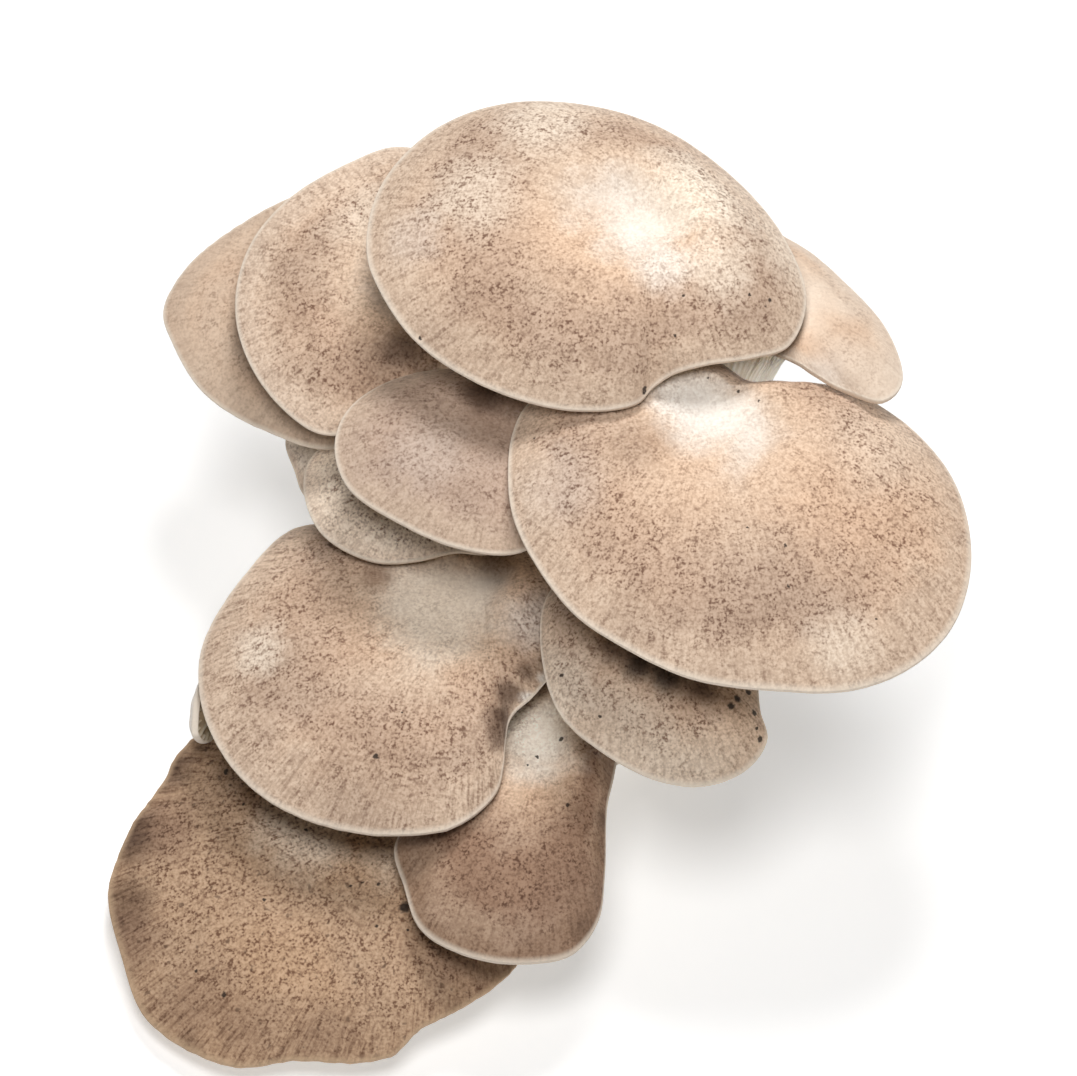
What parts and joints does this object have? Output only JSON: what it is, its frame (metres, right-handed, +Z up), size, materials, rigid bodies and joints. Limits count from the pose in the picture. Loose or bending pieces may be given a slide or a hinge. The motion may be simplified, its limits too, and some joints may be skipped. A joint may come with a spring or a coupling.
{
  "type": "oyster mushroom cluster",
  "caption": "Cluster of shingled oyster mushrooms with brown caps, pale gills and stems, grown from one butt and standing on its cut face.",
  "frame": {"origin": "middle of the flat cut face of the butt, on which the cluster rests", "axes": "+Z up from the cut face, +X to the right and +Y away from someone who looks at the side with the low broad caps"},
  "size_m": [0.1891, 0.189, 0.1221],
  "materials": {
    "cap_skin": "matte, finely velvety",
    "pale_flesh": "matte"
  },
  "bodies": {
    "root": {"butt": "pale_flesh", "cap_crown": "cap_skin", "gills_and_stem_crown": "pale_flesh", "cap_right": "cap_skin", "gills_and_stem_right": "pale_flesh", "cap_upper_left": "cap_skin", "gills_and_stem_upper_left": "pale_flesh", "cap_far_left": "cap_skin", "gills_and_stem_far_left": "pale_flesh", "cap_middle": "cap_skin", "gills_and_stem_middle": "pale_flesh", "cap_middle_under": "cap_skin", "gills_and_stem_middle_under": "pale_flesh", "cap_left_small": "cap_skin", "gills_and_stem_left_small": "pale_flesh", "cap_lower_left": "cap_skin", "gills_and_stem_lower_left": "pale_flesh", "cap_bottom": "cap_skin", "gills_and_stem_bottom": "pale_flesh", "cap_lower_middle": "cap_skin", "gills_and_stem_lower_middle": "pale_flesh", "cap_lower_right": "cap_skin", "gills_and_stem_lower_right": "pale_flesh", "cap_upper_right": "cap_skin", "gills_and_stem_upper_right": "pale_flesh", "cap_side_small": "cap_skin", "gills_and_stem_side_small": "pale_flesh"}
  },
  "joints": []
}
